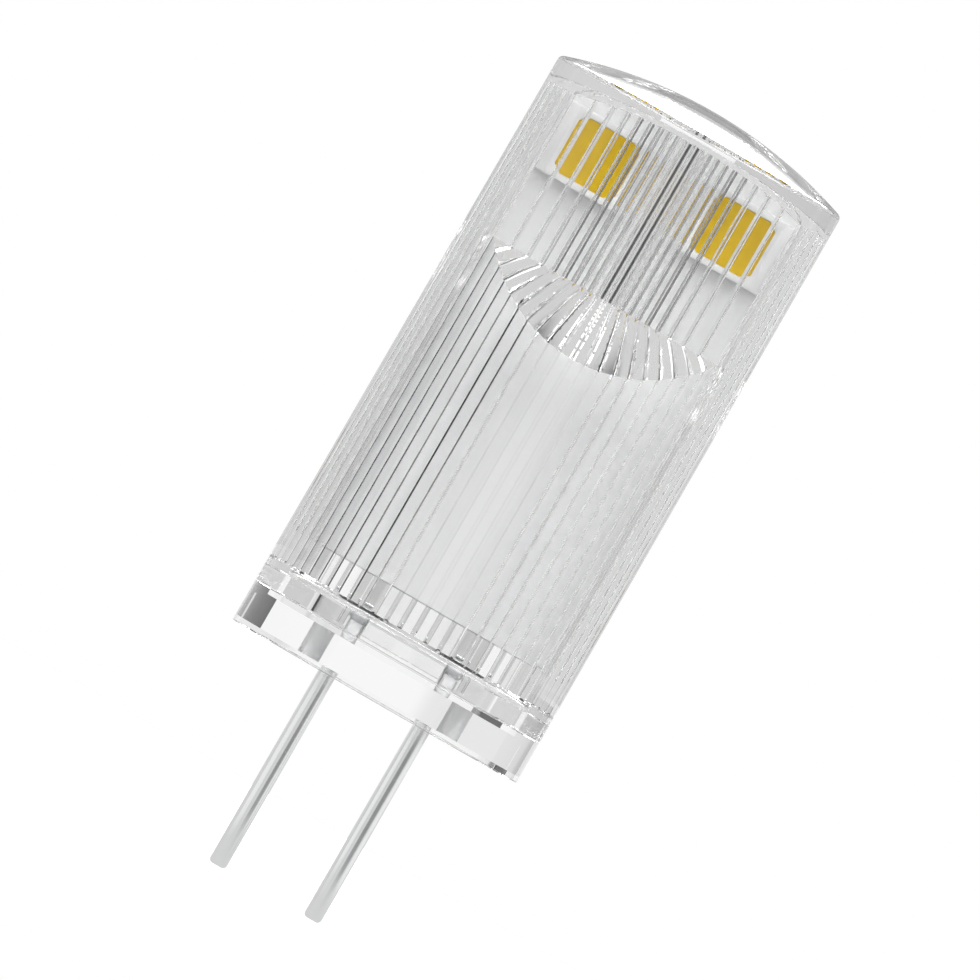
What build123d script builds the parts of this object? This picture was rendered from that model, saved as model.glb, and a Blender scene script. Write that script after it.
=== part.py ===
from build123d import *
from math import cos, degrees, radians, sin, sqrt, tan
import os

os.makedirs("parts", exist_ok=True)

# Frame: millimetres, Z up along the lamp's axis, origin in the middle of the base's seat.
# The circuit board stands in the XZ plane, its front faces -Y, and the pins point down.

# Housing: one clear moulding, open at the foot, with a domed end.
body_height = 24.9
foot_radius = 6.0
shoulder_radius = 5.95
dome_radius = 18.0
dome_wall = 1.25
shoulder_fillet = 0.25

# Ribbed bore, made of flats with a rib on each edge between them, and the two thick windows that
# flatten it in front of the LEDs.
bore_radius = 5.0
flat_count = 60
rib_width = 0.2
rib_height = 0.05
ribs_start = 2.85
window_gap = 2.5
window_foot = 14.4
window_flats = 20

# Base plug: flange under the housing, hollow spigot inside it.
flange_height = 1.7
floor_top = 1.44
seat_recess_radius = 4.95
seat_recess_depth = 0.23
spigot_top = 2.7
spigot_wall = 1.5
spigot_chamfer = 0.25
spigot_clearance = 0.05
mouth_radius = 5.15

# Contact pins, 4 mm apart: round outside, knurled in the plug, pressed flat where they meet the board.
pin_diameter = 0.7
pin_spacing = 4.0
pin_reach = 8.1
pin_top = 2.95
pin_tip_chamfer = 0.12
knurl_diameter = 0.62
knurl_depth = 0.03
knurl_teeth = 12
knurl_clearance = 0.02
tab_width = 0.64
tab_thickness = 0.5

# Circuit board: a wide upper part with a domed top edge, and a narrow tongue.
board_thickness = 0.8
board_half_width = 4.75
board_foot = 3.96
board_clearance = 0.12
board_corner = 0.4
tongue_half_width = 2.65
tongue_foot = 1.93
slot_clearance = 0.05

# LED package, two on each face of the board.
led_width = 2.2
led_height = 2.84
led_thickness = 0.65
led_centre_x = 2.03
led_below_dome = 3.63
led_border_side = 0.18
led_border_end = 0.26
led_window_chamfer = 0.25
led_cup_depth = 0.35
led_cup_taper = 20.0
led_corner = 0.08
phosphor_drop = 0.03

# Solder, and the tinned bus strip between the LEDs of each face.
solder_thickness = 0.05
led_pad_height = 0.7
pin_joint_foot = 2.25
pin_joint_spread = 0.16
bus_width = 0.4
bus_thickness = 0.1
bus_centre_x = 0.05
bus_above_window_foot = 1.5
bus_end_gap = 0.1

# Driver parts on the back of the board: places are the middle of each part, across and above the
# foot of the wide board.
rectifier_size = (4.2, 3.8, 1.3)
rectifier_place = (0.0, 2.94)
rectifier_lead_pitch = 2.6
chip_size = (2.9, 1.6, 1.1)
chip_place = (-2.4, 8.64)
chip_lead_pitch = 0.95
diode_size = (2.7, 1.6, 1.1)
diode_place = (-2.4, 6.24)
choke_size = (4.0, 4.0, 1.8)
choke_flange = 0.45
choke_post = 1.0
choke_corner = 0.9
choke_winding_inset = 0.15
choke_place = (1.9, 7.44)
capacitor_size = (1.6, 3.2, 1.2)
capacitor_places = {"input": (3.6, 2.94), "output": (-3.6, 2.94)}
resistor_size = (1.25, 2.0, 0.5)
resistor_places = {"1": (-1.05, 11.64), "2": (1.05, 11.64)}
end_cap = 0.4
lead_width = 0.5
lead_thickness = 0.15
lead_reach = 0.45
body_draft = 5.0

flat_pitch = 360.0 / flat_count
flat_distance = bore_radius + rib_height
rib_turn = degrees(rib_width / 2 / bore_radius)
dome_centre = body_height - dome_radius
ceiling_radius = dome_radius - dome_wall
shoulder_height = dome_centre + sqrt(dome_radius**2 - shoulder_radius**2)
window_rise = bore_radius - window_gap
window_top = window_foot + window_rise
ramp_reach = foot_radius - bore_radius
spigot_radius = mouth_radius - spigot_clearance
pin_radius = pin_diameter / 2
knurl_radius = knurl_diameter / 2
pin_x = {"left": -pin_spacing / 2, "right": pin_spacing / 2}
led_x = {"left": -led_centre_x, "right": led_centre_x}
led_centre_z = body_height - led_below_dome

front_face = Plane(origin=(0, -board_thickness / 2, 0), x_dir=(1, 0, 0), z_dir=(0, -1, 0))
back_face = Plane(origin=(0, board_thickness / 2, 0), x_dir=(-1, 0, 0), z_dir=(0, 1, 0))
faces = {"front": (front_face, 1), "back": (back_face, -1)}


def save(piece, name):
    """Label a finished piece and write it as its own file."""
    piece.part.label = name
    export_step(piece.part, f"parts/{name}.step")


def radial_point(angle, radius):
    """A point at an angle from the -Y direction, which is where the front window lies."""
    return (radius * sin(radians(angle)), -radius * cos(radians(angle)))


def bore_rib(step):
    """Section of one rib of the round bore: its two feet on the flats, and its tip."""
    angle = step * flat_pitch
    corner = flat_distance * cos(radians(flat_pitch / 2)) / cos(radians(flat_pitch / 2 - rib_turn))
    return [
        radial_point(angle - rib_turn, corner),
        radial_point(angle, bore_radius),
        radial_point(angle + rib_turn, corner),
    ]


def window_rib(step, gap):
    """Section of one rib of a window, a gap in front of the axis, at a bore rib's angle."""
    across = gap * tan(radians(step * flat_pitch))
    half = rib_width / 2
    return [(across - half, -gap - rib_height), (across, -gap), (across + half, -gap - rib_height)]


def window_outline(gap):
    """Section of the thick plastic in front of a window: ribbed inside, cut off far outside."""
    half = window_flats // 2
    ribs = [window_rib(step, gap) for step in range(-half, half + 1)]
    wall = [corner for rib in ribs for corner in rib][1:-1]
    reach = (gap + foot_radius) / gap
    far = [(across * reach, along * reach) for across, along in (wall[-1], wall[0])]
    with BuildLine() as line:
        Polyline(*wall, *far, close=True)
    return line


# Housing
with BuildPart() as window:
    for height, gap in ((window_foot - ramp_reach, bore_radius + ramp_reach), (window_top, window_gap)):
        with BuildSketch(Plane.XY.offset(height)):
            add(window_outline(gap).line)
            make_face()
    loft(ruled=True)
    with BuildSketch(Plane.XY.offset(window_top)):
        add(window_outline(window_gap).line)
        make_face()
    extrude(amount=body_height - window_top)

with BuildPart() as core:
    with BuildSketch(Plane.XY.offset(ribs_start)):
        with BuildLine():
            Polyline(*[corner for step in range(flat_count) for corner in bore_rib(step)], close=True)
        make_face()
    extrude(amount=body_height - ribs_start)
    with Locations((0, 0, dome_centre)):
        Sphere(ceiling_radius, mode=Mode.INTERSECT)
    add(window.part, mode=Mode.SUBTRACT)
    add(window.part.rotate(Axis.Z, 180), mode=Mode.SUBTRACT)

with BuildPart() as housing:
    with BuildSketch(Plane.XZ) as outline:
        with BuildLine():
            Line((0, flange_height), (foot_radius, flange_height))
            Line((foot_radius, flange_height), (shoulder_radius, shoulder_height))
            RadiusArc((shoulder_radius, shoulder_height), (0, body_height), -dome_radius)
            Line((0, body_height), (0, flange_height))
        make_face()
        shoulder = outline.vertices().sort_by_distance((shoulder_radius, shoulder_height, 0))[0]
        fillet(shoulder, shoulder_fillet)
    revolve(axis=Axis.Z)
    add(core.part, mode=Mode.SUBTRACT)
    with BuildSketch(Plane.XZ):
        with BuildLine():
            mouth_step = mouth_radius - bore_radius
            Polyline(
                (0, flange_height),
                (mouth_radius, flange_height),
                (mouth_radius, ribs_start - mouth_step),
                (bore_radius, ribs_start),
                (0, ribs_start),
                close=True,
            )
        make_face()
    revolve(axis=Axis.Z, mode=Mode.SUBTRACT)
save(housing, "housing")

# Base plug
with BuildPart() as base_plug:
    with BuildSketch(Plane.XZ) as section:
        with BuildLine():
            Polyline(
                (0, seat_recess_depth),
                (seat_recess_radius, seat_recess_depth),
                (seat_recess_radius, 0),
                (foot_radius, 0),
                (foot_radius, flange_height),
                (spigot_radius, flange_height),
                (spigot_radius, spigot_top),
                (spigot_radius - spigot_wall, spigot_top),
                (spigot_radius - spigot_wall, floor_top),
                (0, floor_top),
                close=True,
            )
        make_face()
        chamfer(section.vertices().sort_by_distance((spigot_radius, spigot_top, 0))[0], spigot_chamfer)
    revolve(axis=Axis.Z)
    with Locations(*[(x, 0, floor_top) for x in pin_x.values()]):
        Hole(knurl_radius + knurl_clearance)
save(base_plug, "base_plug")

# Contact pins
for side, x in pin_x.items():
    with BuildPart() as pin:
        with BuildSketch(Plane.XY.offset(-pin_reach)):
            with Locations((x, 0)):
                Circle(pin_radius)
        extrude(amount=pin_reach + seat_recess_depth)
        chamfer(pin.edges().group_by(Axis.Z)[0], pin_tip_chamfer)
        with BuildSketch(Plane.XY.offset(seat_recess_depth)):
            with Locations((x, 0)):
                with BuildLine():
                    half_tooth = 180 / knurl_teeth
                    teeth = [
                        radial_point(step * half_tooth, knurl_radius - knurl_depth * (step % 2))
                        for step in range(2 * knurl_teeth)
                    ]
                    Polyline(*[(x + across, along) for across, along in teeth], close=True)
                make_face()
        extrude(amount=floor_top - seat_recess_depth)
        with BuildSketch(Plane.XY.offset(floor_top)):
            with Locations((x, 0)):
                Rectangle(tab_width, tab_thickness)
        extrude(amount=pin_top - floor_top)
    save(pin, f"contact_pin_{side}")

# Circuit board
with BuildPart() as circuit_board:
    board_arc = ceiling_radius - board_clearance
    arc_edge = dome_centre + sqrt(board_arc**2 - board_half_width**2)
    with BuildSketch(Plane.XZ):
        with BuildLine():
            Line((-board_half_width, board_foot), (-board_half_width, arc_edge))
            RadiusArc((-board_half_width, arc_edge), (board_half_width, arc_edge), board_arc)
            Line((board_half_width, arc_edge), (board_half_width, board_foot))
            Polyline(
                (board_half_width, board_foot),
                (tongue_half_width, board_foot),
                (tongue_half_width, tongue_foot),
                (-tongue_half_width, tongue_foot),
                (-tongue_half_width, board_foot),
                (-board_half_width, board_foot),
            )
        make_face()
        with Locations(*[(x, (tongue_foot + pin_top + slot_clearance) / 2) for x in pin_x.values()]):
            Rectangle(
                tab_width + 2 * slot_clearance,
                pin_top + slot_clearance - tongue_foot,
                mode=Mode.SUBTRACT,
            )
    extrude(amount=board_thickness / 2, both=True)
    corners = circuit_board.edges().filter_by(Axis.Y)
    fillet(corners.group_by(Axis.X)[0] + corners.group_by(Axis.X)[-1], board_corner)
save(circuit_board, "circuit_board")

# Solder joints between the pins and the tongue
for side, x in pin_x.items():
    with BuildPart() as joint:
        with BuildSketch(Plane.XY.offset(pin_joint_foot)):
            with Locations((x, 0)):
                Rectangle(tab_width + 2 * slot_clearance, board_thickness + 2 * pin_joint_spread)
        extrude(amount=pin_top - pin_joint_foot)
        with BuildSketch(Plane.XY.offset(pin_joint_foot)):
            with Locations((x, 0)):
                Rectangle(tab_width, tab_thickness)
        extrude(amount=pin_top - pin_joint_foot, mode=Mode.SUBTRACT)
    save(joint, f"pin_solder_{side}")


def led(face, sign, side, x):
    """One LED: solder pads, a white cup-shaped body and its phosphor filling."""
    seat = face.offset(solder_thickness)
    top = face.offset(solder_thickness + led_thickness)
    place = (sign * x, led_centre_z)
    window_size = (led_width - 2 * led_border_side, led_height - 2 * led_border_end)
    pad_shift = (led_height - led_pad_height) / 2

    with BuildPart() as pads:
        with BuildSketch(face):
            with Locations((place[0], place[1] - pad_shift), (place[0], place[1] + pad_shift)):
                Rectangle(led_width, led_pad_height)
        extrude(amount=solder_thickness)

    with BuildPart() as phosphor:
        with BuildSketch(top.offset(-phosphor_drop)):
            with Locations(place):
                opening = Rectangle(*window_size)
            chamfer(opening.vertices(), led_window_chamfer)
        extrude(amount=-(led_cup_depth - phosphor_drop), taper=led_cup_taper)

    with BuildPart() as body:
        with BuildSketch(seat):
            with Locations(place):
                outline = Rectangle(led_width, led_height)
            chamfer(outline.vertices(), led_corner)
        extrude(amount=led_thickness)
        with BuildSketch(top.offset(-phosphor_drop)):
            with Locations(place):
                opening = Rectangle(*window_size)
            chamfer(opening.vertices(), led_window_chamfer)
        extrude(amount=phosphor_drop, mode=Mode.SUBTRACT)
        add(phosphor.part, mode=Mode.SUBTRACT)

    return {f"led_solder_{side}": pads, f"led_body_{side}": body, f"led_phosphor_{side}": phosphor}


for facing, (face, sign) in faces.items():
    for side, x in led_x.items():
        for name, piece in led(face, sign, f"{facing}_{side}", x).items():
            save(piece, name)


# Bus strips, flat on the board between the LEDs of each face
bus_foot = window_foot + bus_above_window_foot
bus_top = dome_centre + board_arc - bus_end_gap
for facing, (face, sign) in faces.items():
    with BuildPart() as bus_strip:
        with BuildSketch(face):
            with Locations((bus_centre_x, (bus_foot + bus_top) / 2)):
                Rectangle(bus_width, bus_top - bus_foot)
        extrude(amount=bus_thickness)
    save(bus_strip, f"bus_strip_{facing}")


def moulded_body(size, place):
    """A moulded component body, drafted towards its top, standing just off the board."""
    with BuildPart() as body:
        with BuildSketch(back_face.offset(lead_thickness)):
            with Locations((-place[0], board_foot + place[1])):
                RectangleRounded(size[0], size[1], led_corner)
        extrude(amount=size[2] - lead_thickness, taper=body_draft)
    return body


def side_leads(size, place, rows, along_x):
    """Flat leads under a body that reach past its two ends."""
    span = (size[0] if along_x else size[1]) / 2
    with BuildPart() as leads:
        with BuildSketch(back_face):
            for end in (-1, 1):
                for row in rows:
                    shift = end * (span + lead_reach / 2 - lead_width / 2)
                    centre = (shift, row) if along_x else (row, shift)
                    run = lead_reach + lead_width
                    with Locations((centre[0] - place[0], board_foot + centre[1] + place[1])):
                        Rectangle(*((run, lead_width) if along_x else (lead_width, run)))
        extrude(amount=lead_thickness)
    return leads


def chip_with_caps(size, place):
    """A chip part: its body between two metal end caps."""
    with BuildPart() as body:
        with BuildSketch(back_face):
            with Locations((-place[0], board_foot + place[1])):
                Rectangle(size[0], size[1] - 2 * end_cap)
        extrude(amount=size[2])
    with BuildPart() as caps:
        with BuildSketch(back_face):
            for end in (-1, 1):
                with Locations((-place[0], board_foot + place[1] + end * (size[1] - end_cap) / 2)):
                    Rectangle(size[0], end_cap)
        extrude(amount=size[2])
    return body, caps


# Rectifier, driver chip and flywheel diode
save(moulded_body(rectifier_size, rectifier_place), "rectifier_body")
rectifier_rows = (-rectifier_lead_pitch / 2, rectifier_lead_pitch / 2)
save(side_leads(rectifier_size, rectifier_place, rectifier_rows, False), "rectifier_leads")
save(moulded_body(chip_size, chip_place), "driver_chip_body")
chip_rows = (-chip_lead_pitch, 0, chip_lead_pitch)
save(side_leads(chip_size, chip_place, chip_rows, False), "driver_chip_leads")
save(moulded_body(diode_size, diode_place), "diode_body")
save(side_leads(diode_size, diode_place, (0,), True), "diode_leads")

# Choke: a drum core lying flat on the board, with its winding between the flanges
choke_centre = (-choke_place[0], board_foot + choke_place[1])
with BuildPart() as choke_core:
    for base in (0, choke_size[2] - choke_flange):
        with BuildSketch(back_face.offset(base)):
            with Locations(choke_centre):
                plate = Rectangle(choke_size[0], choke_size[1])
            chamfer(plate.vertices(), choke_corner)
        extrude(amount=choke_flange)
    with BuildSketch(back_face):
        with Locations(choke_centre):
            Circle(choke_post)
    extrude(amount=choke_size[2])
save(choke_core, "choke_core")

with BuildPart() as choke_winding:
    with BuildSketch(back_face.offset(choke_flange)):
        with Locations(choke_centre):
            Circle(choke_size[0] / 2 - choke_winding_inset)
            Circle(choke_post, mode=Mode.SUBTRACT)
    extrude(amount=choke_size[2] - 2 * choke_flange)
save(choke_winding, "choke_winding")

# Capacitors and sense resistors
for name, place in capacitor_places.items():
    body, caps = chip_with_caps(capacitor_size, place)
    save(body, f"{name}_capacitor_body")
    save(caps, f"{name}_capacitor_caps")
for name, place in resistor_places.items():
    body, caps = chip_with_caps(resistor_size, place)
    save(body, f"sense_resistor_{name}_body")
    save(caps, f"sense_resistor_{name}_caps")
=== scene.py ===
from math import atan2, copysign, cos, pi, radians, sin, sqrt, tan

import bmesh
import bpy
from mathutils import Matrix, Vector


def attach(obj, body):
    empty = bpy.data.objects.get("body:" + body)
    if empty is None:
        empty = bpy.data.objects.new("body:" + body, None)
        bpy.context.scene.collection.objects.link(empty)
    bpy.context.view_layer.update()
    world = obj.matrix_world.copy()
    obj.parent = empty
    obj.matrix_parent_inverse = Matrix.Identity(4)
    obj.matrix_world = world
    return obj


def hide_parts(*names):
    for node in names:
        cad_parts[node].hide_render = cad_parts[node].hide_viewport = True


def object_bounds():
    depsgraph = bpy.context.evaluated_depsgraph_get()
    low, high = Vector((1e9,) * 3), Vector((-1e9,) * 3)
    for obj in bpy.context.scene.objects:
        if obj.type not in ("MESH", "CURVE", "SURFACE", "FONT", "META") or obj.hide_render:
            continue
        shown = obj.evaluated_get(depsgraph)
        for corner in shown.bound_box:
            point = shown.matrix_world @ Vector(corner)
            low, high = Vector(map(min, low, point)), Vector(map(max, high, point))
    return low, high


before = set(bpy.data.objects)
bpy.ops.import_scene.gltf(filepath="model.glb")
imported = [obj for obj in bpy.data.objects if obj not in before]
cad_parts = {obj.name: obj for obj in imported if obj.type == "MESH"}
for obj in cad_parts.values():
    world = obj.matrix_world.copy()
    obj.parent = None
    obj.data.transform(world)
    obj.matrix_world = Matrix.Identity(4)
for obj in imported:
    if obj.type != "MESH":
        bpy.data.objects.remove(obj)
cad_low, cad_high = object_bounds()

# Camera
# A long lens looks level at the front of the lamp, square to its board, from over a metre away.
# The lamp leans to the right in the picture. The pixel of its seat and the scale place the camera.
MM = 0.001
PICTURE = 980
PIXELS_PER_MM = 27.3
LEAN = radians(30.0)
SEAT_PIXEL = (374.4, 701.0)
LENS = 1500.0
SENSOR = 36.0

from_seat = Vector((PICTURE / 2 - SEAT_PIXEL[0], SEAT_PIXEL[1] - PICTURE / 2)) / PIXELS_PER_MM
across = from_seat.x * cos(LEAN) - from_seat.y * sin(LEAN)
up = from_seat.x * sin(LEAN) + from_seat.y * cos(LEAN)
distance = PICTURE / PIXELS_PER_MM * MM * LENS / SENSOR
camera_data = bpy.data.cameras.new("camera")
camera_data.lens = LENS
camera_data.sensor_width = SENSOR
camera_data.clip_end = 4 * distance
camera = bpy.data.objects.new("camera", camera_data)
camera.location = (across * MM, -distance, up * MM)
camera.rotation_euler = (Matrix.Rotation(radians(90), 4, "X") @ Matrix.Rotation(LEAN, 4, "Z")).to_euler()
bpy.context.scene.collection.objects.link(camera)
bpy.context.scene.camera = camera
bpy.context.scene.view_settings.view_transform = "Standard"

# Contact pins
# Two lengths of round tinned copper wire, moulded into the base plug 4 mm apart. Their tips are
# tumbled round, and above the plug's floor they are pressed flat to stand in the board's slots.
PIN_X = {"left": -2.0, "right": 2.0}
PIN_RADIUS = 0.35
PIN_TIP_ROUND = 0.17
PIN_SHANK_RADIUS = 0.31
PIN_TAB = (0.32, 0.25)
PIN_TAB_TOP = 2.95
WIRE_SIDES = 48
QUARTER_TURN = [step * pi / 12 for step in range(7)]
PLUG_FLOOR = 1.44
SEAT_RECESS = 0.23


class Socket:
    """One output of a node. Arithmetic on it adds Math nodes."""

    def __init__(self, nodes, output):
        self.nodes = nodes
        self.output = output

    def math(self, operation, *values):
        return self.nodes.add("ShaderNodeMath", {"operation": operation}, dict(enumerate(values)))

    def __add__(self, other):
        return self.math("ADD", self, other)

    def __sub__(self, other):
        return self.math("SUBTRACT", self, other)

    def __rsub__(self, other):
        return self.math("SUBTRACT", other, self)

    def __mul__(self, other):
        return self.math("MULTIPLY", self, other)

    __radd__ = __add__
    __rmul__ = __mul__


class Nodes:
    """The node tree of a material or of the world."""

    def __init__(self, tree):
        self.tree = tree

    def add(self, kind, settings=None, inputs=None, output=0):
        """A node: its settings first, then the values or links of its sockets."""
        node = self.tree.nodes.new(kind)
        for name, value in (settings or {}).items():
            setattr(node, name, value)
        for name, value in (inputs or {}).items():
            if isinstance(value, Socket):
                self.tree.links.new(value.output, node.inputs[name])
            else:
                node.inputs[name].default_value = value
        return Socket(self, node.outputs[output]) if len(node.outputs) else None

    def step(self, value, low, high):
        """A smooth step from 0 at low to 1 at high."""
        ends = {"Value": value, "From Min": low, "From Max": high}
        return self.add("ShaderNodeMapRange", {"interpolation_type": "SMOOTHSTEP"}, ends)


class Finish(Nodes):
    """A material with one Principled shader, which takes its constant values by name."""

    def __init__(self, name, **constants):
        self.material = bpy.data.materials.new(name)
        self.material.use_nodes = True
        super().__init__(self.material.node_tree)
        self.shader = self.tree.nodes["Principled BSDF"]
        for socket, value in constants.items():
            self.shader.inputs[socket.replace("_", " ")].default_value = value

    def grain(self, scale, stretch=(1, 1, 1), detail=3.0):
        """Noise with so many cells to a millimetre, each axis scaled for grain that runs one way."""
        point = self.add("ShaderNodeTexCoord", output="Object")
        factors = tuple(factor * scale / MM for factor in stretch)
        place = self.add("ShaderNodeVectorMath", {"operation": "MULTIPLY"}, {0: point, 1: factors})
        return self.add("ShaderNodeTexNoise", None, {"Vector": place, "Scale": 1.0, "Detail": detail})

    def blend(self, factor, first, second):
        """A colour between two."""
        ends = {0: factor, 6: (*first, 1.0), 7: (*second, 1.0)}
        return self.add("ShaderNodeMix", {"data_type": "RGBA"}, ends, output=2)

    def feed(self, **values):
        """Link what changes over the surface to the shader's sockets."""
        for socket, value in values.items():
            self.tree.links.new(value.output, self.shader.inputs[socket.replace("_", " ")])

    def relief(self, height, depth):
        """Raise the surface by a height from 0 to 1 times a depth in millimetres."""
        self.feed(Normal=self.add("ShaderNodeBump", None, {"Height": height, "Distance": depth * MM}))


def ring(mesh, points):
    """One closed row of vertices, from places in millimetres."""
    return [mesh.verts.new((x * MM, y * MM, z * MM)) for x, y, z in points]


def skin(mesh, rows):
    """Join closed rows of vertices with quads, and close the first and the last one."""
    for low, high in zip(rows, rows[1:]):
        for i in range(len(low)):
            j = (i + 1) % len(low)
            mesh.faces.new((low[i], low[j], high[j], high[i]))
    mesh.faces.new(rows[0])
    mesh.faces.new(rows[-1])


def add_piece(mesh, name, finish, nodes, smooth_angle=35.0):
    """Make a bmesh a piece of the lamp, smooth but for edges over an angle, in place of CAD nodes."""
    bmesh.ops.recalc_face_normals(mesh, faces=mesh.faces)
    data = bpy.data.meshes.new(name)
    for face in mesh.faces:
        face.smooth = True
    for edge in mesh.edges:
        edge.smooth = edge.calc_face_angle(0) < radians(smooth_angle)
    mesh.to_mesh(data)
    mesh.free()
    data.materials.append(finish.material)
    piece = bpy.data.objects.new(name, data)
    bpy.context.scene.collection.objects.link(piece)
    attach(piece, "root")
    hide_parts(*nodes)
    return piece


def wire_section(x, z, half_x, half_y, power):
    """A level section of a wire: an ellipse at power 2, a rounded rectangle at a higher power."""
    points = []
    for step in range(WIRE_SIDES):
        turn = step * 2 * pi / WIRE_SIDES
        wide = copysign(abs(cos(turn)) ** (2 / power), cos(turn))
        deep = copysign(abs(sin(turn)) ** (2 / power), sin(turn))
        points.append((x + half_x * wide, half_y * deep, z))
    return points


tinned_wire = Finish("tinned_wire", Metallic=1.0)
drawn = tinned_wire.grain(9.0, (1, 1, 0.02))
cloud = tinned_wire.grain(1.6)
place = tinned_wire.add("ShaderNodeTexCoord", output="Object")
above_seat = tinned_wire.add("ShaderNodeSeparateXYZ", None, {0: place}, output="Z")
# The wire is duller where it is moulded in.
moulded_in = tinned_wire.step(above_seat, 0.1 * MM, 0.3 * MM)
tinned_wire.feed(
    Base_Color=tinned_wire.blend(cloud, (0.86, 0.865, 0.87), (0.93, 0.935, 0.94)),
    Roughness=drawn * 0.08 + cloud * 0.06 + moulded_in * 0.4 + 0.1,
)
tinned_wire.relief(drawn, 0.002)

for side, x in PIN_X.items():
    pin = bmesh.new()
    levels = []
    for turn in QUARTER_TURN:
        radius = PIN_RADIUS - PIN_TIP_ROUND * (1 - sin(turn))
        levels.append((cad_low.z / MM + PIN_TIP_ROUND * (1 - cos(turn)), radius, radius, 2))
    levels += [
        (SEAT_RECESS - 0.12, PIN_RADIUS, PIN_RADIUS, 2),
        (SEAT_RECESS - 0.02, PIN_RADIUS, PIN_RADIUS, 2),
        (SEAT_RECESS, PIN_SHANK_RADIUS, PIN_SHANK_RADIUS, 2),
        (PLUG_FLOOR, PIN_SHANK_RADIUS, PIN_SHANK_RADIUS, 2),
        (PLUG_FLOOR + 0.08, PIN_SHANK_RADIUS, 0.29, 2.6),
        (PLUG_FLOOR + 0.2, PIN_TAB[0], PIN_TAB[1], 5),
        (PIN_TAB_TOP - 0.08, PIN_TAB[0], PIN_TAB[1], 5),
        (PIN_TAB_TOP - 0.02, PIN_TAB[0] - 0.02, PIN_TAB[1] - 0.02, 4),
        (PIN_TAB_TOP, PIN_TAB[0] - 0.07, PIN_TAB[1] - 0.07, 3),
    ]
    skin(pin, [ring(pin, wire_section(x, *level)) for level in levels])
    add_piece(pin, f"pin_{side}", tinned_wire, [f"contact_pin_{side}"])

# Clear body
# The housing and the base plug are two mouldings of clear acrylic, welded to each other round the
# spigot, so that one skin goes round both and only a fine seam is left outside. The bore is sixty
# flats with a rib on every edge between them, and a thick window on each side makes it a slot.
SEAT_RECESS_RADIUS = 4.95
FOOT_RADIUS = 6.0
FLANGE_HEIGHT = 1.7
SEAM_HALF = 0.02
SEAM_FOOT = 5.12
SPIGOT_TOP = 2.7
SPIGOT_RADIUS = 5.1
SPIGOT_BORE = 3.6
SPIGOT_ROUND = 0.25
MOUTH_RADIUS = 5.15
RIBS_START = 2.85
BORE_RADIUS = 5.0
FLATS = 60
RIB_HALF = 0.1
RIB_HEIGHT = 0.058
WINDOW_RIB_HALF = 0.09
WINDOW_RIB_HEIGHT = 0.1
RIDGE_ROUND = 0.1
RIB_SHARES = (-1.1, -1, -0.8, -0.6, -0.4, -0.2, 0, 0.2, 0.4, 0.6, 0.8, 1, 1.1)
WINDOW_GAP = 2.5
WINDOW_RIBS = 10
WINDOW_TOP = 16.9
SHOULDER_RADIUS = 5.95
SHOULDER_ROUND = 0.25
DOME_RADIUS = 18.0
DOME_WALL = 1.25
ARC_STEPS = 12
WALL_STEPS = 12
CEILING_SHARES = (1.0, 0.8, 0.6, 0.4, 0.2, 0.08)
body_top = cad_high.z / MM
dome_centre = body_top - DOME_RADIUS
ceiling_radius = DOME_RADIUS - DOME_WALL


def rib(share, height):
    """How far a rib stands proud, across its width from -1 to 1: a gable with a round ridge."""
    if abs(share) >= 1:
        return 0
    eave = sqrt(1 + RIDGE_ROUND ** 2)
    return height * (eave - sqrt(share ** 2 + RIDGE_ROUND ** 2)) / (eave - RIDGE_ROUND)


acrylic = Finish("clear_acrylic", IOR=1.49, Transmission_Weight=1.0, Roughness=0.0)
flow = acrylic.grain(0.5, (1, 1, 0.25), detail=1.0)
acrylic.feed(Base_Color=acrylic.blend(flow, (1.0, 1.0, 1.0), (0.985, 0.987, 0.987)))

# Each column is a point of a rib's section or the middle of a flat. From the ribs' foot it goes up
# the bore, in along a 45 degree ramp to the window, and up the window to the ceiling. Ribs at the
# sides, past the window's edge, go straight up the bore.
pitch = 2 * pi / FLATS
flat_radius = BORE_RADIUS + RIB_HEIGHT
turns = []
bore_spots = []
window_spots = []
for edge in range(FLATS):
    turn = edge * pitch
    from_middle = min(edge % (FLATS // 2), FLATS // 2 - edge % (FLATS // 2))
    facing = 1 if cos(turn) > 0 else -1
    for share in RIB_SHARES + (None,):
        offset = pitch / 2 if share is None else share * RIB_HALF / BORE_RADIUS
        stand = 0 if share is None else rib(share, RIB_HEIGHT)
        angle = turn + offset
        radius = flat_radius * cos(pitch / 2) / cos(pitch / 2 - abs(offset)) - stand
        spot = (radius * sin(angle), -radius * cos(angle))
        turns.append(angle)
        bore_spots.append(spot)
        window_stand = 0 if share is None else rib(share, WINDOW_RIB_HEIGHT)
        gap = WINDOW_GAP + WINDOW_RIB_HEIGHT - window_stand
        if abs(spot[1]) <= gap:
            window_spots.append(spot)
        elif share is None or from_middle == WINDOW_RIBS:
            window_spots.append((gap * tan(angle) * facing, -gap * facing))
        else:
            across = WINDOW_GAP * tan(turn) + share * WINDOW_RIB_HALF
            window_spots.append((across * facing, -gap * facing))


def level_ring(mesh, radius, height):
    """A level ring of vertices, one on each column."""
    return ring(mesh, [(radius * sin(turn), -radius * cos(turn), height) for turn in turns])


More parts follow.
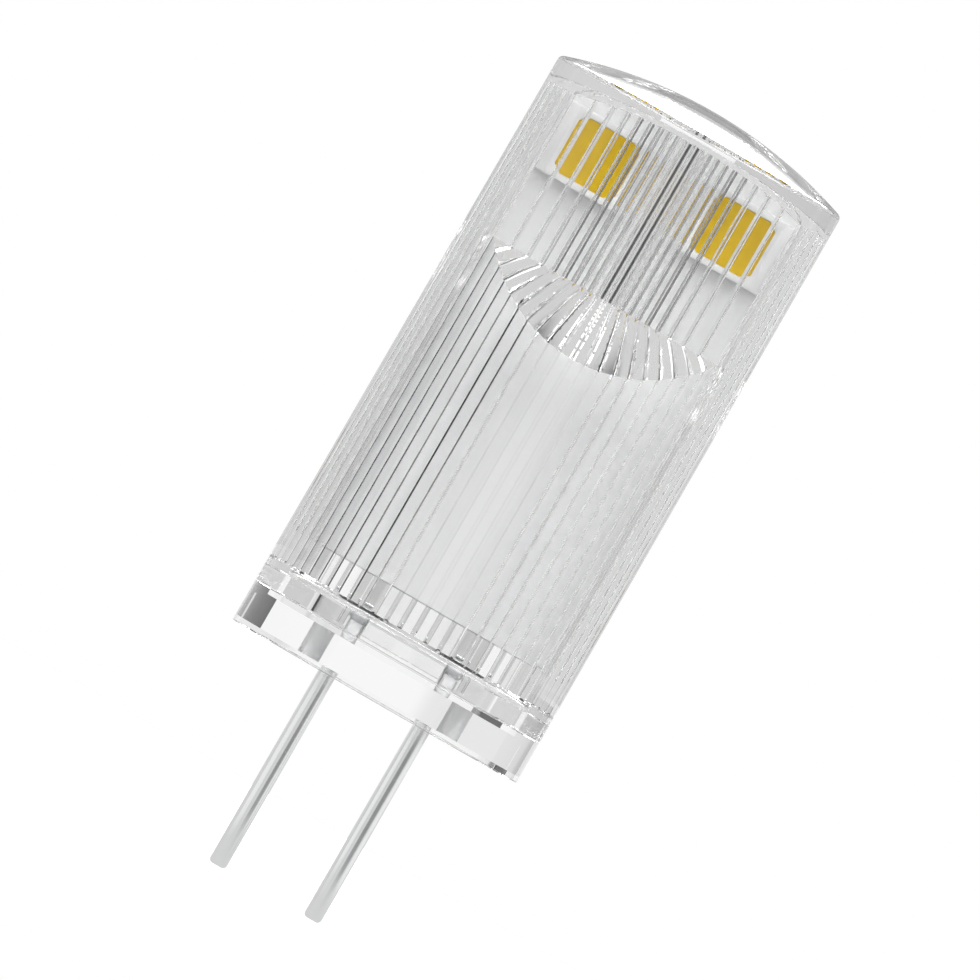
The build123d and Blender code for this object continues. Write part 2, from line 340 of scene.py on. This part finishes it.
# The outside runs from the top of the dome over the shoulder and down the tapered wall to the seat.
round_radius = SHOULDER_RADIUS - SHOULDER_ROUND
round_rise = sqrt((DOME_RADIUS - SHOULDER_ROUND) ** 2 - round_radius ** 2)
touch = atan2(round_radius, round_rise)
round_height = dome_centre + round_rise
outside = []
for step in range(1, ARC_STEPS):
    tilt = touch * step / ARC_STEPS
    outside.append((DOME_RADIUS * sin(tilt), dome_centre + DOME_RADIUS * cos(tilt)))
for step in range(9):
    tilt = touch + (pi / 2 - touch) * step / 8
    outside.append((round_radius + SHOULDER_ROUND * sin(tilt), round_height + SHOULDER_ROUND * cos(tilt)))
outside.append((SHOULDER_RADIUS + 0.0002, round_height - 0.05))
for step in range(1, WALL_STEPS):
    share = step / WALL_STEPS
    level = round_height - (round_height - FLANGE_HEIGHT - SEAM_HALF) * share
    outside.append((SHOULDER_RADIUS + (FOOT_RADIUS - SHOULDER_RADIUS) * share, level))
outside += [
    (FOOT_RADIUS - 0.001, FLANGE_HEIGHT + SEAM_HALF + 0.06),
    (FOOT_RADIUS - 0.004, FLANGE_HEIGHT + SEAM_HALF + 0.02),
    (FOOT_RADIUS - 0.02, FLANGE_HEIGHT + SEAM_HALF),
    (SEAM_FOOT, FLANGE_HEIGHT + SEAM_HALF),
    (SEAM_FOOT, FLANGE_HEIGHT - SEAM_HALF),
    (FOOT_RADIUS - 0.02, FLANGE_HEIGHT - SEAM_HALF),
    (FOOT_RADIUS, FLANGE_HEIGHT - SEAM_HALF - 0.02),
    (FOOT_RADIUS, FLANGE_HEIGHT - SEAM_HALF - 0.06),
    (FOOT_RADIUS, 0.08),
    (FOOT_RADIUS, 0.03),
    (FOOT_RADIUS - 0.03, 0),
    (FOOT_RADIUS - 0.08, 0),
    (SEAT_RECESS_RADIUS + 0.06, 0),
    (SEAT_RECESS_RADIUS, 0),
    (SEAT_RECESS_RADIUS, SEAT_RECESS),
    (SEAT_RECESS_RADIUS - 0.1, SEAT_RECESS),
]
# The inside runs from the plug's floor up the spigot, over its rim and down into the mouth's groove.
inside = [
    (SPIGOT_BORE - 0.1, PLUG_FLOOR),
    (SPIGOT_BORE, PLUG_FLOOR),
    (SPIGOT_BORE, SPIGOT_TOP - 0.06),
    (SPIGOT_BORE + 0.06, SPIGOT_TOP),
]
for turn in QUARTER_TURN:
    radius = SPIGOT_RADIUS - SPIGOT_ROUND * (1 - sin(turn))
    inside.append((radius, SPIGOT_TOP - SPIGOT_ROUND * (1 - cos(turn))))
inside.append((MOUTH_RADIUS, SPIGOT_TOP - SPIGOT_ROUND))
inside.append((MOUTH_RADIUS, RIBS_START - MOUTH_RADIUS + BORE_RADIUS))
body = bmesh.new()
outer_rows = [level_ring(body, *level) for level in outside]
inner_rows = [level_ring(body, *level) for level in inside]
bore_foot = []
ramp_foot = []
ramp_top = []
for (x, y), (window_x, window_y) in zip(bore_spots, window_spots):
    bore_foot.append((x, y, RIBS_START - (sqrt(x * x + y * y) - BORE_RADIUS)))
    ramp_foot.append((x, y, WINDOW_TOP - max(abs(y) - abs(window_y), 0.02)))
    ramp_top.append((window_x, window_y, WINDOW_TOP))
ceiling = []
for share in CEILING_SHARES:
    row = []
    for x, y in window_spots:
        level = dome_centre + sqrt(ceiling_radius ** 2 - (x * x + y * y) * share ** 2)
        row.append((x * share, y * share, level))
    ceiling.append(row)
skin(body, outer_rows)
skin(body, inner_rows + [ring(body, row) for row in [bore_foot, ramp_foot, ramp_top] + ceiling])
add_piece(body, "clear_body", acrylic, ["housing", "base_plug"], smooth_angle=20.0)

# Circuit board
# Glass-epoxy laminate, routed to shape. The wide part has white solder mask on both faces, and the
# narrow tongue that stands on the plug is bare laminate, clear enough to see the ribs through it.
BOARD_HALF_THICK = 0.4
BOARD_HALF_WIDE = 4.75
BOARD_FOOT = 3.96
BOARD_CLEARANCE = 0.12
BOARD_CORNER = 0.4
TONGUE_HALF = 2.65
TONGUE_FOOT = 1.93
ROUTED_EDGE = 0.04

solder_mask = Finish("white_solder_mask", Specular_IOR_Level=0.3)
speckle = solder_mask.grain(6.0)
patch = solder_mask.grain(0.35)
solder_mask.feed(
    Base_Color=solder_mask.blend(speckle * 0.5 + patch * 0.5, (0.85, 0.853, 0.853), (0.9, 0.903, 0.903)),
    Roughness=speckle * 0.15 + 0.42,
)
solder_mask.relief(speckle, 0.003)

board_arc = ceiling_radius - BOARD_CLEARANCE
reach = BOARD_HALF_WIDE - BOARD_CORNER
corner_centre = dome_centre + sqrt((board_arc - BOARD_CORNER) ** 2 - reach ** 2)
lean = atan2(reach, corner_centre - dome_centre)
half_outline = [(TONGUE_HALF + 0.3, BOARD_FOOT)]
for turn in QUARTER_TURN:
    half_outline.append((reach + BOARD_CORNER * sin(turn), BOARD_FOOT + BOARD_CORNER * (1 - cos(turn))))
for step in range(7):
    turn = pi / 2 + (lean - pi / 2) * step / 6
    half_outline.append((reach + BOARD_CORNER * sin(turn), corner_centre + BOARD_CORNER * cos(turn)))
for step in range(1, ARC_STEPS):
    turn = lean * (1 - step / ARC_STEPS)
    half_outline.append((board_arc * sin(turn), dome_centre + board_arc * cos(turn)))


def plate(mesh, outline, half_thick, edge):
    """A plate from its outline in the XZ plane, with a fine chamfer round both faces."""
    count = len(outline)
    rows = []
    inner = half_thick - edge
    for y, inset in ((-half_thick, edge), (-inner, 0), (inner, 0), (half_thick, edge)):
        row = []
        for i, (x, z) in enumerate(outline):
            before, after = outline[i - 1], outline[(i + 1) % count]
            run = Vector((after[0] - before[0], after[1] - before[1])).normalized()
            row.append((x - run.y * inset, y, z + run.x * inset))
        rows.append(ring(mesh, row))
    skin(mesh, rows)


board = bmesh.new()
plate(board, half_outline + [(-x, z) for x, z in reversed(half_outline)], BOARD_HALF_THICK, ROUTED_EDGE)
add_piece(board, "board", solder_mask, ["circuit_board"])

laminate = Finish("bare_laminate", IOR=1.5, Transmission_Weight=1.0)
weave = laminate.grain(3.0, (1, 1, 1), detail=1.0)
laminate.feed(
    Base_Color=laminate.blend(weave, (0.98, 0.985, 0.98), (0.93, 0.94, 0.93)),
    Roughness=weave * 0.06,
)
tongue = bmesh.new()
slot_half = PIN_TAB[0] + 0.05
slot_top = PIN_TAB_TOP + 0.05
half_tongue = [
    (PIN_X["right"] - slot_half, TONGUE_FOOT),
    (PIN_X["right"] - slot_half, slot_top),
    (PIN_X["right"] + slot_half, slot_top),
    (PIN_X["right"] + slot_half, TONGUE_FOOT),
    (TONGUE_HALF, TONGUE_FOOT),
    (TONGUE_HALF, BOARD_FOOT + 0.08),
]
plate(tongue, half_tongue + [(-x, z) for x, z in reversed(half_tongue)], BOARD_HALF_THICK - 0.01, 0.02)
add_piece(tongue, "board_tongue", laminate, ["circuit_board"])

# Solder joints of the pins
# Each flattened pin is soldered to pads on both faces of the tongue, with a meniscus that climbs
# the pin. The tin has set with a dull, frosted skin.
JOINT_FOOT = 2.25
reflowed_tin = Finish("reflowed_tin", Metallic=1.0)
frost = reflowed_tin.grain(5.0)
reflowed_tin.feed(
    Base_Color=reflowed_tin.blend(frost, (0.68, 0.69, 0.7), (0.8, 0.81, 0.82)),
    Roughness=frost * 0.2 + 0.45,
)
reflowed_tin.relief(frost, 0.004)
for side, x in PIN_X.items():
    joint = bmesh.new()
    rows = []
    for step in range(9):
        share = step / 8
        bulge = sin(pi * share) ** 0.5
        z = JOINT_FOOT + (PIN_TAB_TOP - JOINT_FOOT) * share
        rows.append(ring(joint, wire_section(x, z, 0.33 + 0.035 * bulge, 0.3 + 0.25 * bulge, 3)))
    skin(joint, rows)
    add_piece(joint, f"pin_joint_{side}", reflowed_tin, [f"pin_solder_{side}"])

# LEDs
# Each package is a white moulded cup on two tinned pads, filled with silicone that carries yellow
# phosphor. The filling wets the wall of the cup, so its surface dips in the middle.
LED_WIDE = 2.2
LED_LONG = 2.84
LED_X = 2.03
LED_BELOW_TOP = 3.63
LED_STAND = 0.05
LED_THICK = 0.65
LED_WINDOW = (1.84, 2.32)
LED_CHAMFER = 0.25
led_z = body_top - LED_BELOW_TOP


def loop(wide, long, corner, bulge=1.0):
    """A rectangle with its corners cut: rounded at bulge 1, cut straight at bulge 0."""
    points = []
    for quarter in range(4):
        for step in range(5):
            turn = (quarter + step / 4) * pi / 2
            flat = step / 4
            arc = (cos(turn), sin(turn))
            start = (cos(quarter * pi / 2), sin(quarter * pi / 2))
            end = (cos((quarter + 1) * pi / 2), sin((quarter + 1) * pi / 2))
            cut = [start[k] * (1 - flat) + end[k] * flat for k in (0, 1)]
            middle = [1 if start[k] + end[k] > 0 else -1 for k in (0, 1)]
            half = (wide / 2, long / 2)
            bend = [arc[k] * bulge + cut[k] * (1 - bulge) for k in (0, 1)]
            points.append(tuple(middle[k] * (half[k] - corner) + corner * bend[k] for k in (0, 1)))
    return points


def on_board(mesh, facing, centre, depth, outline):
    """An outline laid parallel to the board, at a depth above its front or back face."""
    y = facing * (BOARD_HALF_THICK + depth)
    return ring(mesh, [(centre[0] + across, y, centre[1] + along) for across, along in outline])


cup_white = Finish("cup_moulding", Specular_IOR_Level=0.4)
mottle = cup_white.grain(4.0)
cup_white.feed(
    Base_Color=cup_white.blend(mottle, (0.9, 0.9, 0.895), (0.94, 0.94, 0.935)),
    Roughness=mottle * 0.2 + 0.35,
)
cup_white.relief(mottle, 0.002)

phosphor = Finish("phosphor_silicone", Specular_IOR_Level=0.12)
powder = phosphor.grain(12.0)
settled = phosphor.grain(1.2)
phosphor.feed(
    Base_Color=phosphor.blend(powder * 0.4 + settled * 0.6, (0.72, 0.45, 0.0), (0.8, 0.53, 0.0)),
    Roughness=powder * 0.2 + 0.3,
)
phosphor.relief(powder, 0.002)

top = LED_STAND + LED_THICK
for name, facing in (("front", -1), ("back", 1)):
    for side, x in (("left", -LED_X), ("right", LED_X)):
        centre = (x, led_z)
        cup = bmesh.new()
        cup_levels = [
            (LED_STAND, loop(LED_WIDE - 0.04, LED_LONG - 0.04, 0.07)),
            (LED_STAND + 0.03, loop(LED_WIDE, LED_LONG, 0.08)),
            (top - 0.04, loop(LED_WIDE - 0.01, LED_LONG - 0.01, 0.08)),
            (top - 0.01, loop(LED_WIDE - 0.03, LED_LONG - 0.03, 0.08)),
            (top, loop(LED_WIDE - 0.07, LED_LONG - 0.07, 0.08)),
            (top, loop(LED_WINDOW[0] + 0.04, LED_WINDOW[1] + 0.04, LED_CHAMFER, 0)),
            (top - 0.01, loop(LED_WINDOW[0] + 0.01, LED_WINDOW[1] + 0.01, LED_CHAMFER, 0)),
            (top - 0.04, loop(LED_WINDOW[0], LED_WINDOW[1], LED_CHAMFER, 0)),
            (top - 0.36, loop(LED_WINDOW[0] - 0.24, LED_WINDOW[1] - 0.24, LED_CHAMFER, 0)),
        ]
        skin(cup, [on_board(cup, facing, centre, *level) for level in cup_levels])
        add_piece(cup, f"led_cup_{name}_{side}", cup_white, [f"led_body_{name}_{side}"])
        filling = bmesh.new()
        filling_levels = [
            (top - 0.355, loop(LED_WINDOW[0] - 0.27, LED_WINDOW[1] - 0.27, LED_CHAMFER, 0)),
            (top - 0.035, loop(LED_WINDOW[0] - 0.02, LED_WINDOW[1] - 0.02, LED_CHAMFER, 0)),
        ]
        for share in (0.96, 0.88, 0.76, 0.6, 0.4, 0.2, 0.05):
            outline = loop(LED_WINDOW[0] * share, LED_WINDOW[1] * share, LED_CHAMFER * share, 1 - share)
            filling_levels.append((top - 0.035 - 0.035 * (1 - share ** 4), outline))
        skin(filling, [on_board(filling, facing, centre, *level) for level in filling_levels])
        node = f"led_phosphor_{name}_{side}"
        add_piece(filling, f"led_filling_{name}_{side}", phosphor, [node])
        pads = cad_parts[f"led_solder_{name}_{side}"].data
        pads.materials.clear()
        pads.materials.append(reflowed_tin.material)

# Bus strips
# A strip of tinned copper runs up each face of the board between its two LEDs and feeds them. It is
# rolled thin and soldered flat, and its tin has gone dull and dark.
rolled_tin = Finish("rolled_tin", Metallic=1.0)
rolling = rolled_tin.grain(12.0, (1, 1, 0.02))
rolled_tin.feed(
    Base_Color=rolled_tin.blend(rolling, (0.2, 0.2, 0.205), (0.3, 0.3, 0.305)),
    Roughness=rolling * 0.12 + 0.14,
)
rolled_tin.relief(rolling, 0.006)
for name in ("front", "back"):
    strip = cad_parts[f"bus_strip_{name}"].data
    strip.materials.clear()
    strip.materials.append(rolled_tin.material)

# Rectifier, driver chip and flywheel diode
# Black epoxy bodies with a parting line round the middle, moulded round tin-plated lead frames. The
# leads are bent down to the board and out again, and all three parts are soldered to the back face.
LEAD_THICK = 0.15
LEAD_WIDE = 0.5
LEAD_REACH = 0.45
PARTING_SHARE = 0.45

epoxy = Finish("black_epoxy", Specular_IOR_Level=0.4)
matt = epoxy.grain(9.0)
epoxy.feed(
    Base_Color=epoxy.blend(matt, (0.018, 0.018, 0.02), (0.045, 0.045, 0.048)),
    Roughness=matt * 0.3 + 0.4,
)
epoxy.relief(matt, 0.006)
tin_plate = Finish("tin_plate", Metallic=1.0)
plating = tin_plate.grain(7.0)
tin_plate.feed(
    Base_Color=tin_plate.blend(plating, (0.66, 0.66, 0.67), (0.78, 0.78, 0.79)),
    Roughness=plating * 0.2 + 0.25,
)
tin_plate.relief(plating, 0.003)


def moulded_case(name, centre, wide, long, thick):
    """An epoxy body that tapers both ways from its parting line."""
    case = bmesh.new()
    middle = LEAD_THICK + (thick - LEAD_THICK) * PARTING_SHARE
    rows = [
        (LEAD_THICK, loop(wide - 0.16, long - 0.16, 0.08)),
        (LEAD_THICK + 0.04, loop(wide - 0.1, long - 0.1, 0.1)),
        (middle - 0.01, loop(wide - 0.02, long - 0.02, 0.1)),
        (middle, loop(wide, long, 0.1)),
        (middle + 0.01, loop(wide - 0.02, long - 0.02, 0.1)),
        (thick - 0.05, loop(wide - 0.14, long - 0.14, 0.1)),
        (thick - 0.01, loop(wide - 0.2, long - 0.2, 0.1)),
        (thick, loop(wide - 0.26, long - 0.26, 0.1)),
    ]
    skin(case, [on_board(case, 1, centre, *row) for row in rows])
    add_piece(case, f"{name}_case", epoxy, [f"{name}_body"])


def bent_leads(name, centre, span, thick, rows, along_x):
    """Flat leads that leave a case at its parting line, bend down, and lie on the board."""
    leads = bmesh.new()
    high = LEAD_THICK + (thick - LEAD_THICK) * PARTING_SHARE
    foot = LEAD_THICK / 2
    path = [(-0.12, high), (0.06, high), (0.12, high - 0.02), (0.15, high - 0.08), (0.17, foot + 0.1)]
    path += [(0.2, foot + 0.03), (0.26, foot), (LEAD_REACH, foot)]
    for end in (-1, 1):
        for row in rows:
            sections = []
            for i, (out, depth) in enumerate(path):
                before, after = path[max(i - 1, 0)], path[min(i + 1, len(path) - 1)]
                run = Vector((after[0] - before[0], after[1] - before[1])).normalized()
                section = []
                for side, half in ((-1, -1), (-1, 1), (1, 1), (1, -1)):
                    shift = end * (span / 2 + out + run.y * side * LEAD_THICK / 2)
                    level = BOARD_HALF_THICK + depth - run.x * side * LEAD_THICK / 2
                    cross = row + half * LEAD_WIDE / 2
                    x, z = (shift, cross) if along_x else (cross, shift)
                    section.append((centre[0] + x, level, centre[1] + z))
                sections.append(ring(leads, section))
            skin(leads, sections)
    add_piece(leads, f"{name}_bent_leads", tin_plate, [f"{name}_leads"], smooth_angle=50.0)


for name, place, size, rows, along_x in (
    ("rectifier", (0.0, 2.94), (4.2, 3.8, 1.3), (-1.3, 1.3), False),
    ("driver_chip", (-2.4, 8.64), (2.9, 1.6, 1.1), (-0.95, 0.0, 0.95), False),
    ("diode", (-2.4, 6.24), (2.7, 1.6, 1.1), (0.0,), True),
):
    centre = (place[0], BOARD_FOOT + place[1])
    moulded_case(name, centre, *size)
    bent_leads(name, centre, size[0] if along_x else size[1], size[2], rows, along_x)

# Choke
# Enamelled copper wire, wound side by side on the post of a drum of pressed ferrite. The drum lies on
# the board with one flange down.
CHOKE_CENTRE = (1.9, BOARD_FOOT + 7.44)
CHOKE_SIDE = 4.0
CHOKE_THICK = 1.8
CHOKE_FLANGE = 0.45
CHOKE_CORNER = 0.9
CHOKE_TURNS = 7

ferrite = Finish("pressed_ferrite", Specular_IOR_Level=0.35)
pores = ferrite.grain(10.0)
ferrite.feed(
    Base_Color=ferrite.blend(pores, (0.06, 0.06, 0.065), (0.14, 0.14, 0.15)),
    Roughness=pores * 0.25 + 0.5,
)
ferrite.relief(pores, 0.01)
drum = bmesh.new()
flange_levels = ((0, 0.05), (0.03, 0.015), (0.07, 0), (0.38, 0), (0.42, 0.015), (CHOKE_FLANGE, 0.05))
for base in (0, CHOKE_THICK - CHOKE_FLANGE):
    flange = []
    for depth, inset in flange_levels:
        outline = loop(CHOKE_SIDE - 2 * inset, CHOKE_SIDE - 2 * inset, CHOKE_CORNER, 0.25)
        flange.append(on_board(drum, 1, CHOKE_CENTRE, base + depth, outline))
    skin(drum, flange)
add_piece(drum, "choke_drum", ferrite, ["choke_core"])

enamel = Finish("enamelled_copper", Metallic=1.0, Coat_Weight=0.6, Coat_Roughness=0.1)
strand = enamel.grain(5.0)
enamel.feed(
    Base_Color=enamel.blend(strand, (0.5, 0.17, 0.06), (0.68, 0.29, 0.12)),
    Roughness=strand * 0.15 + 0.2,
)
enamel.relief(strand, 0.002)
winding = bmesh.new()
wound = []
wound_steps = CHOKE_TURNS * 6
for step in range(wound_steps + 1):
    share = step / wound_steps
    radius = CHOKE_SIDE / 2 - 0.15 - 0.07 * (1 - abs(sin(pi * share * CHOKE_TURNS)))
    depth = CHOKE_FLANGE + 0.002 + (CHOKE_THICK - 2 * CHOKE_FLANGE - 0.004) * share
    outline = [(radius * cos(i * pi / 32), radius * sin(i * pi / 32)) for i in range(64)]
    wound.append(on_board(winding, 1, CHOKE_CENTRE, depth, outline))
skin(winding, wound)
add_piece(winding, "choke_wire", enamel, ["choke_winding"], smooth_angle=75.0)

# Capacitors and sense resistors
# Chip parts: a fired ceramic body, bare on a capacitor and glazed on a resistor, between two dipped
# and tinned end caps. The caps are soldered to the back face of the board.
END_CAP = 0.4

ceramic = Finish("capacitor_ceramic", Specular_IOR_Level=0.4)
fired = ceramic.grain(4.0)
ceramic.feed(
    Base_Color=ceramic.blend(fired, (0.34, 0.23, 0.13), (0.5, 0.37, 0.24)),
    Roughness=fired * 0.2 + 0.35,
)
ceramic.relief(fired, 0.004)
glaze = Finish("resistor_glaze", Specular_IOR_Level=0.5)
glass = glaze.grain(3.0)
glaze.feed(
    Base_Color=glaze.blend(glass, (0.015, 0.02, 0.03), (0.04, 0.05, 0.07)),
    Roughness=glass * 0.15 + 0.12,
)
glaze.relief(glass, 0.004)


def chip_part(name, place, size, body_finish):
    """A chip part on the back face: its body, and a cap with round corners on each end."""
    wide, long, thick = size
    centre = (place[0], BOARD_FOOT + place[1])
    body = bmesh.new()
    rows = [(0.02, 0.06), (0.05, 0.03), (thick - 0.06, 0.03), (thick - 0.03, 0.06)]
    outlines = [(depth, loop(wide - 2 * inset, long - 2 * END_CAP + 0.1, 0.03)) for depth, inset in rows]
    skin(body, [on_board(body, 1, centre, *row) for row in outlines])
    add_piece(body, f"{name}_chip", body_finish, [f"{name}_body"])
    caps = bmesh.new()
    for end in (-1, 1):
        middle = (centre[0], centre[1] + end * (long - END_CAP) / 2)
        rows = [(0, 0.06), (0.02, 0.02), (0.06, 0), (thick - 0.06, 0), (thick - 0.02, 0.02), (thick, 0.06)]
        outlines = [(depth, loop(wide - 2 * inset, END_CAP - 2 * inset, 0.06)) for depth, inset in rows]
        skin(caps, [on_board(caps, 1, middle, *row) for row in outlines])
    add_piece(caps, f"{name}_end_caps", tin_plate, [f"{name}_caps"])


chip_part("input_capacitor", (3.6, 2.94), (1.6, 3.2, 1.2), ceramic)
chip_part("output_capacitor", (-3.6, 2.94), (1.6, 3.2, 1.2), ceramic)
chip_part("sense_resistor_1", (-1.05, 11.64), (1.25, 2.0, 0.5), glaze)
chip_part("sense_resistor_2", (1.05, 11.64), (1.25, 2.0, 0.5), glaze)

# Studio
# A pale grey room that the camera itself sees as plain white. Two soft boxes stand high in front of
# the lamp and a stronger one behind it, to light the white board and the clear plastic.
ROOM = 0.66
FRONT_BOX = 6.3
BACK_BOX = 11.5

studio = bpy.data.worlds.new("studio")
studio.use_nodes = True
studio.node_tree.nodes.clear()
bpy.context.scene.world = studio
room = Nodes(studio.node_tree)
seen = room.add("ShaderNodeLightPath", output="Is Camera Ray")
direction = room.add("ShaderNodeTexCoord", output="Generated")
dx, dy, dz = (room.add("ShaderNodeSeparateXYZ", None, {0: direction}, output=axis) for axis in "XYZ")
front_turn = dx.math("ARCTAN2", dx, dy * -1.0) * (180 / pi)
back_turn = dx.math("ARCTAN2", dx, dy) * (180 / pi)
rise = dz.math("ARCSINE", dz) * (180 / pi)


def panel(turn, turn_low, turn_high, rise_low, rise_high, soft):
    """A panel of the room: 1 inside its turns and rises in degrees, fading out at its edges."""
    mask = room.step(turn, turn_low - soft, turn_low + soft)
    mask = mask * (1 - room.step(turn, turn_high - soft, turn_high + soft))
    mask = mask * room.step(rise, rise_low - soft, rise_low + soft)
    return mask * (1 - room.step(rise, rise_high - soft, rise_high + soft))


# The lower wall behind the lamp is lighter than the rest of the room, and lightest on its right.
light = ROOM + 0.3 * panel(back_turn, -10, 64, -90, 22, 3)
light = light + 0.16 * panel(back_turn, -64, -10, -90, 22, 3)
light = light + FRONT_BOX * panel(front_turn, -80, -12, 24, 45, 3)
light = light + FRONT_BOX * panel(front_turn, 12, 80, 24, 45, 3)
light = light + BACK_BOX * panel(back_turn, -32, 32, 26, 43, 3)
# Higher up it is dark behind the lamp, with a bright strip on each side.
light = light - 0.62 * panel(back_turn, -50, 50, 47, 79, 3)
light = light + 2.0 * panel(back_turn, 88, 125, 57, 66, 2)
light = light + 2.0 * panel(back_turn, -125, -88, 57, 66, 2)
strength = seen * (1 - light) + light
backdrop = room.add("ShaderNodeBackground", None, {"Color": (1, 1, 1, 1), "Strength": strength})
room.add("ShaderNodeOutputWorld", None, {"Surface": backdrop})
cycles = bpy.context.scene.cycles
cycles.max_bounces = 40
cycles.transmission_bounces = 40
cycles.glossy_bounces = 16
cycles.transparent_max_bounces = 16

# Floor
# A round table top of pale paper under the tips of the pins. It is lit evenly from within, and metal
# and clear plastic see that even glow alone.
TABLE_RADIUS = 0.35
TABLE_SIDES = 96
TABLE_GLOW = 0.7

paper = Finish("white_paper", Roughness=0.9, Specular_IOR_Level=0.0)
fibres = paper.grain(2.0)
paper.feed(Base_Color=paper.blend(fibres, (0.38, 0.38, 0.38), (0.42, 0.42, 0.42)))
glossy = paper.add("ShaderNodeLightPath", output="Is Glossy Ray")
through = paper.add("ShaderNodeLightPath", output="Is Transmission Ray")
mirrored = glossy.math("MAXIMUM", glossy, through)
glow = paper.add("ShaderNodeEmission", None, {"Color": (1, 1, 1, 1), "Strength": TABLE_GLOW})
lit = paper.add("ShaderNodeAddShader", None, {0: Socket(paper, paper.shader.outputs[0]), 1: glow})
surface = paper.add("ShaderNodeMixShader", None, {0: mirrored, 1: lit, 2: glow})
paper.tree.links.new(surface.output, paper.tree.nodes["Material Output"].inputs["Surface"])
table_turns = [i * 2 * pi / TABLE_SIDES for i in range(TABLE_SIDES)]
rim = [(TABLE_RADIUS * cos(turn), TABLE_RADIUS * sin(turn), cad_low.z) for turn in table_turns]
floor_mesh = bpy.data.meshes.new("floor")
floor_mesh.from_pydata(rim, [], [tuple(range(TABLE_SIDES))])
floor_mesh.materials.append(paper.material)
floor = bpy.data.objects.new("floor", floor_mesh)
bpy.context.scene.collection.objects.link(floor)

# Cards
# Black, grey and white cards stand round the lamp, hidden from the camera. The clear walls bend the
# view to them: they draw the dark lines of the ribs and set the tones of the walls and the flange.
CARD_STEPS = 12


def card(name, glow, bands):
    """A card in curved bands: each has its radius, its two turns from the back, and its two heights."""
    finish = Finish(name)
    light = finish.add("ShaderNodeEmission", None, {"Color": (1, 1, 1, 1), "Strength": glow})
    finish.tree.links.new(light.output, finish.tree.nodes["Material Output"].inputs["Surface"])
    spots = []
    quads = []
    for radius, start, end, low, high in bands:
        width = (end - start) / CARD_STEPS
        for step in range(CARD_STEPS):
            first = len(spots)
            for turn in (start + width * step, start + width * (step + 1)):
                place = (radius * MM * sin(radians(turn)), radius * MM * cos(radians(turn)))
                spots += [(*place, low * MM), (*place, high * MM)]
            quads.append((first, first + 1, first + 3, first + 2))
    mesh = bpy.data.meshes.new(name)
    mesh.from_pydata(spots, [], quads)
    mesh.materials.append(finish.material)
    piece = bpy.data.objects.new(name, mesh)
    piece.visible_camera = False
    bpy.context.scene.collection.objects.link(piece)


# A dark card low on the right, with a slot in its foot, for the flange.
foot_bands = ((40, 36.7, 57.2, -0.3, 2.75), (40, 57.2, 59.4, 1.05, 2.75), (40, 59.4, 80, -0.3, 2.75))
card("foot_card", 0.1, foot_bands)
# Dark cards on the left and in front, for the dark lines of the ribs. Above the ramp the one at the
# right in front is grey.
card("side_card", 0.02, ((60, -98, -70, 2.5, 17.0),))
card("front_card", 0.1, ((60, -172, -126, 2.4, 26.0), (60, 138, 165, 2.4, 16.5)))
card("window_card", 0.4, ((60, 138, 188, 16.5, 26.0),))
# Grey cards behind, for the walls at both sides of the board.
card("wall_card_left", 0.6, ((80, -62, -9, 2.8, 26.0),))
card("wall_card_right", 0.66, ((80, 9, 62, 2.8, 26.0),))
# A grey card and two white ones round the pins, for the stripes down them.
card("pin_card", 0.3, ((18, 126, 170, -8.6, -0.4),))
card("pin_light", 0.9, ((18, 62, 112, -8.6, -0.4), (18, 212, 262, -8.6, -0.4)))
# A grey card high behind, for the dome.
card("dome_card", 0.42, ((80, -62, 62, 27.0, 56.0),))
